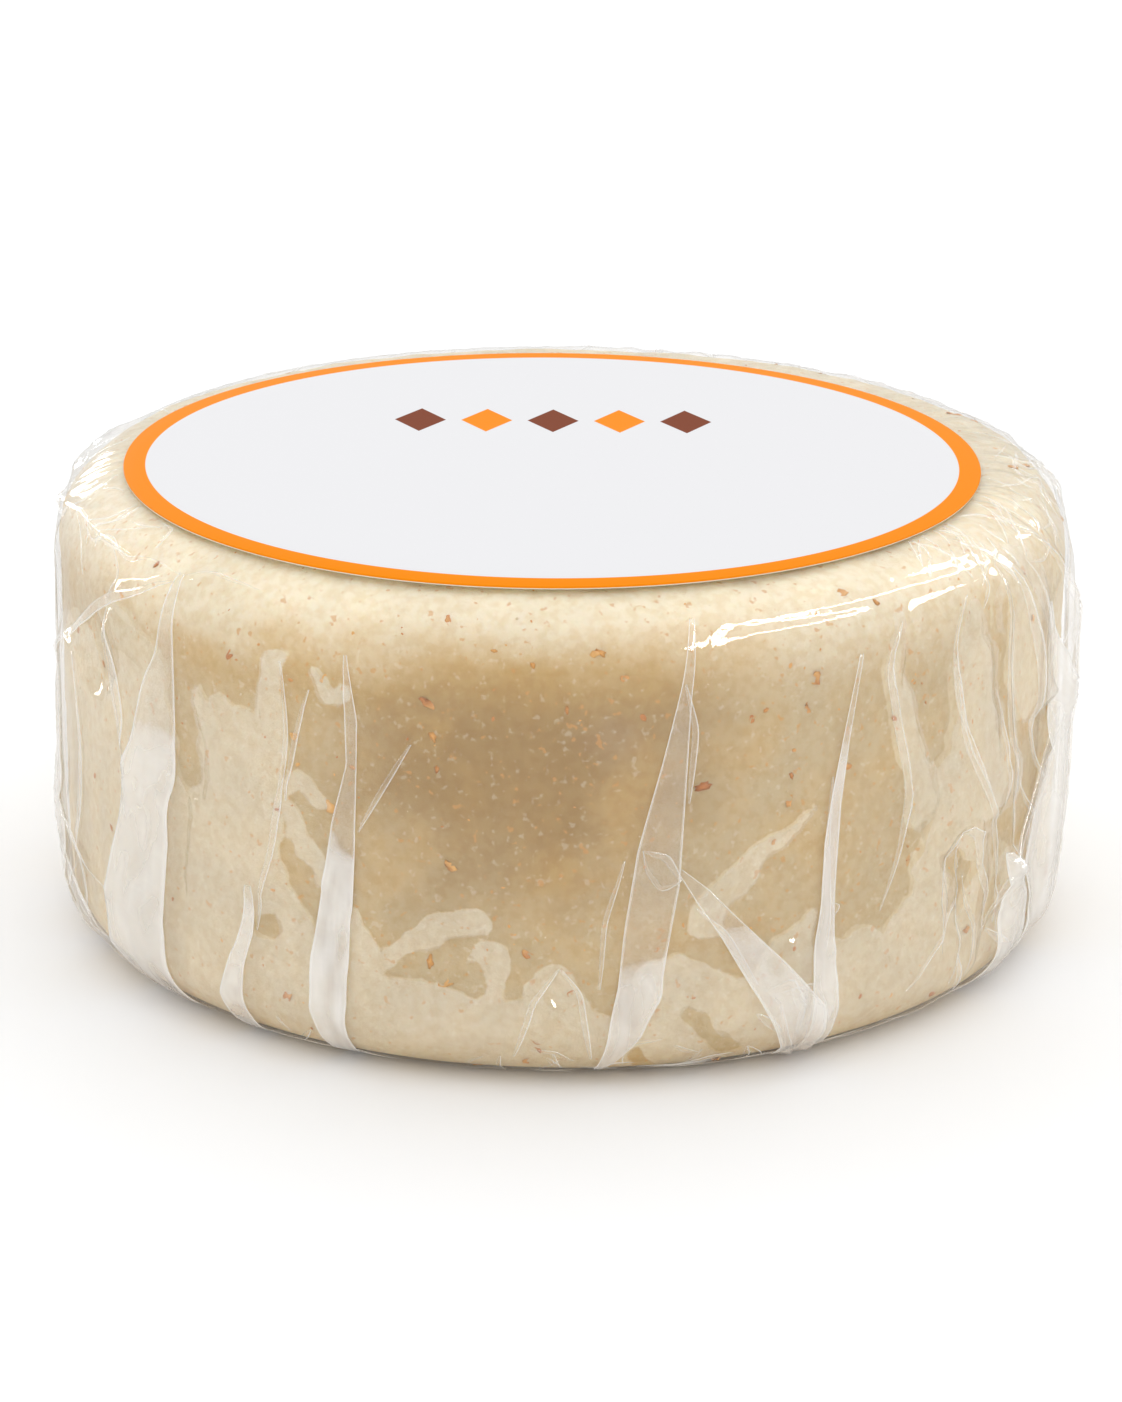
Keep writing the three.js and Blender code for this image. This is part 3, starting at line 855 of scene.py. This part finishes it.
# Short tucks strewn by a seeded draw: (how many, degrees, millimetres down,
# lengths, widths, lean from the upright in degrees).
STREWN_TUCKS = [
    (7, (21.5, 29), (22.6, 26), (1.0, 2.6), (0.2, 0.4), (-50, 50)),  # the knot
    (60, (40, 320), (20.5, 25.5), (2.0, 6.0), (0.15, 0.5), (-40, 40)),  # foot
    (16, (-36, 22), (24, 26), (1.0, 2.4), (0.1, 0.25), (-70, 70)),
    (36, (-34, 60), (25.6, 27.3), (2.0, 6.0), (0.3, 0.8), (74, 106)),  # rim of the foot
    (60, (60, 326), (25.6, 27.3), (2.0, 6.0), (0.3, 0.8), (70, 110)),
    (44, (48, 100), (0.6, 4.4), (1.0, 4.5), (0.06, 0.22), (-90, 90)),  # shoulder
    (24, (-104, -50), (0.9, 4.0), (1.0, 4.0), (0.06, 0.2), (-90, 90)),
    (30, (100, 256), (1.2, 4.6), (1.4, 5.0), (0.06, 0.16), (-90, 90)),
    (30, (84, 280), (6.0, 16), (6.0, 13.0), (0.3, 0.9), (-22, 22)),  # back
    (26, (44, 84), (0.6, 3.4), (1.2, 3.2), (0.06, 0.18), (-50, -10)),  # right rim
]

# They keep clear of the label.
LABEL_CENTRE = (label_low + label_high) / 2
LABEL_RADIUS = (label_high.x - label_low.x) / 2


def label_reach(angle):
    """How far down the film the label's edge reaches, with a little to spare."""
    t = np.radians(angle)
    outward = LABEL_CENTRE.x * np.sin(t) - LABEL_CENTRE.y * np.cos(t)
    return LABEL_RADIUS + outward - FLAT + 0.25


def random_tucks():
    draw = np.random.default_rng(31)
    tucks = []
    for count, angles, downs, lengths, widths, lean in STREWN_TUCKS:
        for _ in range(count):
            x, y = draw.uniform(*angles), draw.uniform(*downs)
            a = math.radians(draw.uniform(*lean))
            half = draw.uniform(*lengths) / 2
            bow = draw.uniform(-0.3, 0.3) * half
            dx, dy = math.sin(a), math.cos(a)
            points = [(x + (dx * k * half + dy * bow * (1 - k * k)) / ROLL,
                       y + dy * k * half - dx * bow * (1 - k * k)) for k in (-1, 0, 1)]
            points = [(x, max(y, label_reach(x))) for x, y in points]
            tucks.append((draw.uniform(*widths), points))
    return tucks


def curved(points, count):
    """A line through about the same points with its corners rounded off."""
    line = along(points, count + 8)
    for _ in range(4):
        line[1:-1] = (line[:-2] + 2 * line[1:-1] + line[2:]) / 4
    return along(line, count)


def tuck(width, points, section):
    """A sliver: one of its two edges shows more than the other."""
    middle = curved(points, TUCK_ROWS)
    way = np.gradient(middle * np.array([ROLL, 1.0]), axis=0)
    way = way / np.linalg.norm(way, axis=1, keepdims=True)
    share = np.linspace(0, 1, TUCK_ROWS)[:, None]
    half = 0.5 * width * np.clip(np.sin(share * math.pi), 0.02, 1) ** 0.8
    across = np.stack([way[:, 1] / ROLL, -way[:, 0]], axis=-1)
    made, white, air, under = fold(
        middle - across * half, middle + across * half, NEVER_MILKY, section, TUCK_RAISED)
    # The white edge, partly a painted highlight, shows mostly on the outer side.
    white = white * np.where(section[0] > 0.5, 1.0, 0.25)
    fainter = 1 - 0.5 * smooth(np.abs(turn(middle[:, :1], 0)), 60, 80)
    return made, white * fainter, air, under


def tuck_material():
    """The same film where it is doubled over in a narrow sliver: white along
    its edge, partly as a painted highlight, and clear between."""
    n = Finish("clear_film_tucks")
    veil = n.math("MINIMUM", n.math("MULTIPLY", n.attribute("edge"), 0.85), MOST_WHITE)
    return film_surface(n, veil, 0.05, 0.05)


narrow_section = fold_section(3, 3)
folds_piece("film_tucks", tuck_material(), [
    tuck(width, points, narrow_section) for width, points in FRONT_TUCKS + random_tucks()])

# ---- Label ------------------------------------------------------------------
# A round white paper sticker with an orange ring along its edge, stuck on top
# of the film a little off centre. Its edge is die cut.
LABEL_THICKNESS = label_high.z - label_low.z
LABEL_DROOP = 0.6  # share of the shoulder's fall that its overhang follows
LABEL_COLUMNS = 256
LABEL_RINGS = 12
RING_WIDTH = 1.10
PRINT_SOFT = 0.02  # the ring's inner edge is soft over this much to either side
PAPER_WHITE = (0.75, 0.75, 0.765)
RING_ORANGE = (0.89, 0.255, 0.001)
CUT_CREAM = (0.90, 0.84, 0.70)  # cut edge of the paper, below the print
# A row of plain lozenges, brown and orange by turns: how many to either side of
# the middle one, their spacing and half sizes, and how far up the label.
LOZENGES = 2
LOZENGE_PITCH = 3.5
LOZENGE_HALF = (1.35, 2.3)
LOZENGE_UP = 7.0
LOZENGE_BROWN = (0.20, 0.045, 0.015)


def label_material():
    n = Finish("label_paper")
    where = n.add("ShaderNodeTexCoord").outputs["Object"]
    centre = tuple(-v * MM for v in LABEL_CENTRE)
    local = n.add("ShaderNodeMapping", {"Vector": where, "Location": centre})
    parts = n.add("ShaderNodeSeparateXYZ", {"Vector": local})
    x, y = parts.outputs[0], parts.outputs[1]
    out = n.math("SQRT", n.math("ADD", n.math("MULTIPLY", x, x), n.math("MULTIPLY", y, y)))
    place_no = n.math("ROUND", n.math("DIVIDE", x, LOZENGE_PITCH * MM))
    beside = n.math("MULTIPLY_ADD", place_no, -LOZENGE_PITCH * MM, x)
    above = n.math("SUBTRACT", y, LOZENGE_UP * MM)
    across = n.math("DIVIDE", n.math("ABSOLUTE", beside), LOZENGE_HALF[0] * MM)
    up = n.math("DIVIDE", n.math("ABSOLUTE", above), LOZENGE_HALF[1] * MM)
    inside = n.ramp(n.math("ADD", across, up), 0.98, 1.02, 1.0, 0.0)
    counted = n.math("LESS_THAN", n.math("ABSOLUTE", place_no), LOZENGES + 0.5)
    inside = n.math("MULTIPLY", inside, counted)
    odd = n.math("MODULO", n.math("ABSOLUTE", place_no), 2.0)
    print_colour = n.mix(odd, LOZENGE_BROWN, RING_ORANGE)
    colour = n.mix(inside, PAPER_WHITE, print_colour)
    ring_in = LABEL_RADIUS - RING_WIDTH
    ring = n.ramp(out, (ring_in - PRINT_SOFT) * MM, (ring_in + PRINT_SOFT) * MM)
    colour = n.mix(ring, colour, RING_ORANGE)
    colour = n.mix(n.ramp(n.attribute("cut"), 0.35, 0.5), colour, CUT_CREAM)
    return n.principled(colour, 0.6, Specular_IOR_Level=0.06,
                        Normal=n.bump(n.noise(0.35, 3.0), 0.02, 0.2))


def label_mesh():
    """A thin disc with softened edges, which bends a little where it reaches
    past the flat top."""
    edge = LABEL_THICKNESS / 3
    inner = [LABEL_RADIUS * k / LABEL_RINGS for k in range(1, LABEL_RINGS)]
    section = [(r, LABEL_THICKNESS) for r in inner]
    section += [(LABEL_RADIUS - edge, LABEL_THICKNESS)]
    section += [(LABEL_RADIUS - edge * 0.3, LABEL_THICKNESS - edge * 0.3)]
    section += [(LABEL_RADIUS, LABEL_THICKNESS - edge), (LABEL_RADIUS, 0.0)]
    section += [(r, 0.0) for r in reversed(inner)]
    angles = np.arange(LABEL_COLUMNS) * 360.0 / LABEL_COLUMNS
    ring = np.array([place(angles, r, np.full_like(angles, z)) for r, z in section])
    base = Vector((LABEL_CENTRE.x, LABEL_CENTRE.y, label_low.z))
    ring = ring + np.array(base)
    past = np.maximum(np.hypot(ring[..., 0], ring[..., 1]) - FLAT, 0)
    ring[..., 2] -= LABEL_DROOP * (SHOULDER_RADIUS - np.sqrt(SHOULDER_RADIUS**2 - past**2))
    top = (base.x, base.y, base.z + LABEL_THICKNESS)
    mesh = closed_grid("label", ring, top, tuple(base))
    low = np.array([z for _, z in section]) < LABEL_THICKNESS / 2
    store(mesh, "cut", np.broadcast_to(low[:, None].astype(float), ring.shape[:2]))
    return mesh


label = add_piece("paper_label", label_mesh(), label_material())
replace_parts(label, "label")

# ---- Skin flecks and grains -------------------------------------------------
# Scraps of red-brown peanut skin and pale grains of nut and sugar, pressed half
# into the surface of the cake. They are strewn at random with a fixed seed.
BIT_RARITY = 5.0  # the higher, the fewer large ones
BIT_RAGGED = 2.6  # how far its surface is pushed about, for its size


def scatter_tree():
    """Strews small bodies over the faces of a mesh."""
    tree = bpy.data.node_groups.new("strewn_bits", "GeometryNodeTree")
    face = tree.interface
    face.new_socket("Geometry", in_out="INPUT", socket_type="NodeSocketGeometry")
    for name, kind in (("Density", "Float"), ("Smallest", "Float"), ("Largest", "Float"),
                       ("Length", "Float"), ("Thickness", "Float"), ("Seed", "Int"),
                       ("Finish", "Material")):
        face.new_socket(name, in_out="INPUT", socket_type="NodeSocket" + kind)
    face.new_socket("Geometry", in_out="OUTPUT", socket_type="NodeSocketGeometry")
    n = Nodes(tree)
    given = n.add("NodeGroupInput").outputs
    spread = n.add("GeometryNodeDistributePointsOnFaces", {
        "Mesh": given["Geometry"], "Density": given["Density"], "Seed": given["Seed"]})
    chance = n.add("FunctionNodeRandomValue", {"Seed": given["Seed"]}, data_type="FLOAT")
    few = n.math("POWER", chance.outputs[1], BIT_RARITY)
    size = n.add("ShaderNodeMapRange", {
        "Value": few, "To Min": given["Smallest"], "To Max": given["Largest"]}).outputs[0]
    scale = n.add("ShaderNodeCombineXYZ", {
        "X": n.math("MULTIPLY", size, given["Length"]), "Y": size,
        "Z": n.math("MULTIPLY", size, given["Thickness"])})
    spin = n.add("FunctionNodeRandomValue", {"Seed": 5}, data_type="FLOAT")
    twist = n.add("ShaderNodeCombineXYZ", {"Z": n.math("MULTIPLY", spin.outputs[1], math.tau)})
    turned = n.add("FunctionNodeRotateRotation", {
        "Rotation": spread.outputs["Rotation"], "Rotate By": twist}, rotation_space="LOCAL")
    bit = n.add("GeometryNodeMeshIcoSphere", {"Radius": 1.0, "Subdivisions": 2})
    sized = n.add("GeometryNodeStoreNamedAttribute", {
        "Geometry": spread.outputs["Points"], "Name": "bit_size", "Value": size},
        data_type="FLOAT", domain="POINT")
    placed = n.add("GeometryNodeInstanceOnPoints", {
        "Points": sized.outputs[0], "Instance": bit.outputs["Mesh"],
        "Rotation": turned.outputs[0], "Scale": scale})
    real = n.add("GeometryNodeRealizeInstances", {"Geometry": placed.outputs[0]})
    ragged = n.add("ShaderNodeTexNoise", {"Scale": 3200.0, "Detail": 2.0})
    push = n.add("ShaderNodeVectorMath", {0: ragged.outputs["Color"], 1: (0.5, 0.5, 0.5)},
                 operation="SUBTRACT")
    kept = n.add("GeometryNodeInputNamedAttribute", {"Name": "bit_size"}, data_type="FLOAT")
    for factor in (kept.outputs[0], BIT_RAGGED):
        push = n.add("ShaderNodeVectorMath", {0: push.outputs[0], "Scale": factor},
                     operation="SCALE")
    rough = n.add("GeometryNodeSetPosition", {
        "Geometry": real.outputs[0], "Offset": push.outputs[0]})
    finish = n.add("GeometryNodeSetMaterial", {
        "Geometry": rough.outputs[0], "Material": given["Finish"]})
    n.add("NodeGroupOutput", {0: finish.outputs[0]})
    return tree


STREWN = scatter_tree()


def strewn(name, material, **values):
    """Runs the tree over the cake and keeps the result as a plain mesh."""
    host = link(name, cake_mesh.copy())
    modifier = host.modifiers.new("strewn", "NODES")
    modifier.node_group = STREWN
    values["Finish"] = material
    for item in STREWN.interface.items_tree:
        if item.in_out == "INPUT" and item.name in values:
            modifier[item.identifier] = values[item.name]
    graph = bpy.context.evaluated_depsgraph_get()
    mesh = bpy.data.meshes.new_from_object(host.evaluated_get(graph))
    bpy.data.objects.remove(host)
    mesh.name = name
    mesh.shade_smooth()
    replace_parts(add_piece(name, mesh, material), "wrapped_candy")


def bits_material(name, dark, light):
    n = Finish(name)
    return n.principled(n.mix(n.ramp(n.noise(1.7, 2.0), 0.35, 0.65), dark, light), 0.5)


# Density is how many for each square metre; Length and Thickness are for a width of 1.
strewn("skin_flecks", bits_material("peanut_skin", (0.56, 0.20, 0.035), (0.80, 0.44, 0.12)),
       Density=140000.0, Smallest=0.04 * MM, Largest=0.24 * MM, Length=1.7, Thickness=0.14,
       Seed=3)
strewn("pale_grains", bits_material("nut_grains", (0.60, 0.45, 0.25), (0.77, 0.64, 0.43)),
       Density=34000.0, Smallest=0.03 * MM, Largest=0.08 * MM, Length=1.3, Thickness=0.5,
       Seed=8)

SCRAP_CORNERS = 14
SCRAP_SLIM = 0.55  # its width for a length of 1
SCRAP_RISE = 0.14  # how far its middle stands out, for its size
SCRAP_ROOT = 0.2  # and how deep it goes
# The larger scraps: (degrees, height above the table, size in millimetres).
LARGE_SCRAPS = [
    (14.8, 15.0, 0.50), (-13.1, 17.4, 0.36), (-12.7, 15.8, 0.26), (4.0, 21.7, 0.36),
    (-13.5, 6.2, 0.42), (-51.4, 22.7, 0.34), (-6.9, 21.7, 0.22), (0.6, 18.9, 0.26),
    (-2.9, 21.1, 0.24), (21.4, 18.4, 0.22), (24.6, 15.0, 0.24), (36.0, 22.6, 0.30),
    (-31.0, 12.6, 0.20), (-21.9, 15.4, 0.22), (112, 19.0, 0.40), (150, 9.0, 0.34),
    (196, 16.0, 0.44), (233, 12.0, 0.30), (268, 18.0, 0.36), (300, 8.0, 0.28),
]


def scraps_mesh():
    """Each is a small closed lens with a ragged rim, bedded in the skin."""
    draw = np.random.default_rng(4)
    vertices, faces = [], []
    for angle, z, size in LARGE_SCRAPS:
        down = SIDE_FROM + (WRAP_HEIGHT - SHOULDER_RADIUS) - z
        if down < SIDE_FROM:
            down = SHOULDER_RADIUS * math.acos(1 - (WRAP_HEIGHT - z) / SHOULDER_RADIUS)
        spin = draw.uniform(0, math.pi)
        start = len(vertices)
        for k in range(SCRAP_CORNERS):
            a = math.tau * k / SCRAP_CORNERS
            reach = size * draw.uniform(0.5, 1.0)
            x, y = reach * math.cos(a), SCRAP_SLIM * reach * math.sin(a)
            along_x = x * math.cos(spin) - y * math.sin(spin)
            along_y = x * math.sin(spin) + y * math.cos(spin)
            vertices.append(cake_points(np.array(angle + along_x / ROLL),
                                        np.array(down + along_y)))
        _, _, nr, nz = profile(np.array(down))
        out = place(np.array(angle), nr, nz)
        middle = cake_points(np.array(float(angle)), np.array(down))
        vertices += [middle + out * SCRAP_RISE * size, middle - out * SCRAP_ROOT * size]
        top, root = start + SCRAP_CORNERS, start + SCRAP_CORNERS + 1
        for k in range(SCRAP_CORNERS):
            one, two = start + k, start + (k + 1) % SCRAP_CORNERS
            faces += [(one, root, two), (one, two, top)]
    mesh = bpy.data.meshes.new("skin_scraps")
    mesh.from_pydata((np.array(vertices) * MM).tolist(), [], faces)
    mesh.shade_smooth()
    return mesh


scrap_finish = bits_material("skin_scrap", (0.52, 0.17, 0.022), (0.74, 0.35, 0.07))
scraps = add_piece("skin_scraps", scraps_mesh(), scrap_finish)
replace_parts(scraps, "wrapped_candy")

# ---- Floor, light and camera ------------------------------------------------
# A white sweep in a bright studio. The sky is pale, with broad glows; a large
# softbox hangs behind and above, and a strip light on either side draws the
# lines on the folds.
FLOOR_HALF = 3.0  # metres
FLOOR_SINK = 0.00002  # metres, so that the floor and the film share no plane
FLOOR_WHITE = (0.955, 0.962, 0.972)
floor_mesh = bpy.data.meshes.new("floor")
corners = [(x * FLOOR_HALF, y * FLOOR_HALF, -FLOOR_SINK)
           for x, y in ((-1, -1), (1, -1), (1, 1), (-1, 1))]
floor_mesh.from_pydata(corners, [], [(0, 1, 2, 3)])
floor = link("floor", floor_mesh)
floor_mesh.materials.append(
    Finish("white_sweep").principled(FLOOR_WHITE, 0.9, Specular_IOR_Level=0.0))

SKY_LEVEL = 0.33  # the sky away from its glows
# (towards its middle, strength): high at the back, low in front, on either side
GLOWS = [((0.12, 0.56, 0.82), 0.68), ((0.06, -0.96, 0.26), 0.38),
         ((-0.98, -0.1, 0.2), 0.31), ((0.98, -0.1, 0.2), 0.24)]

world = bpy.data.worlds.new("studio")
bpy.context.scene.world = world
world.use_nodes = True
n = Nodes(world.node_tree)
way = n.add("ShaderNodeTexCoord").outputs["Generated"]
level = SKY_LEVEL
for middle, strength in GLOWS:
    toward = n.add("ShaderNodeVectorMath", {0: way, 1: middle}, operation="DOT_PRODUCT")
    level = n.math("ADD", level, n.ramp(toward.outputs["Value"], -0.1, 1.0, 0.0, strength))
background = world.node_tree.nodes["Background"]
n.feed(background.inputs["Color"], (1.0, 1.0, 1.0))
n.feed(background.inputs["Strength"], level)


def softbox(name, azimuth, elevation, distance, width, height, radiance, lines_only=False):
    """A rectangular light that faces the cake: degrees, then metres. Azimuth 0
    is the camera's side and 90 is to the right. One for lines only is seen in
    the gloss of the film and adds no light elsewhere."""
    data = bpy.data.lights.new(name, "AREA")
    data.shape = "RECTANGLE"
    data.size, data.size_y = width, height
    data.energy = radiance * math.pi * width * height
    lamp = link(name, data)
    a, e = math.radians(azimuth), math.radians(elevation)
    way = Vector((math.sin(a) * math.cos(e), -math.cos(a) * math.cos(e), math.sin(e)))
    lamp.location = way * distance + Vector((0, 0, WRAP_HEIGHT / 2 * MM))
    lamp.rotation_euler = way.to_track_quat("Z", "Y").to_euler()
    lamp.visible_diffuse = not lines_only


softbox("overhead", 180, 66, 1.30, 3.0, 3.0, 0.20)
softbox("right_strip", 80, 42, 0.50, 0.95, 0.05, 15.0, True)
softbox("left_strip", -130, 12, 0.50, 0.60, 0.055, 10.0, True)

CAMERA_BACK = 0.1855  # metres in front of the middle
CAMERA_HEIGHT = 0.0753  # metres above the table
CAMERA_PITCH = 0.3366  # radians below the horizon
CAMERA_ROLL = 0.009  # radians
camera_data = bpy.data.cameras.new("camera")
camera_data.lens = 95.96
camera_data.sensor_width = 36.0
camera_data.clip_start = 0.01
camera_data.clip_end = 20.0
camera = link("camera", camera_data)
tilt = Matrix.Rotation(math.pi / 2 - CAMERA_PITCH, 4, "X")
camera.rotation_euler = (tilt @ Matrix.Rotation(CAMERA_ROLL, 4, "Z")).to_euler()
camera.location = (0.0, -CAMERA_BACK, CAMERA_HEIGHT)
bpy.context.scene.camera = camera
bpy.context.scene.view_settings.view_transform = "Standard"
bpy.context.scene.cycles.transparent_max_bounces = 32  # layers of clear film in a row
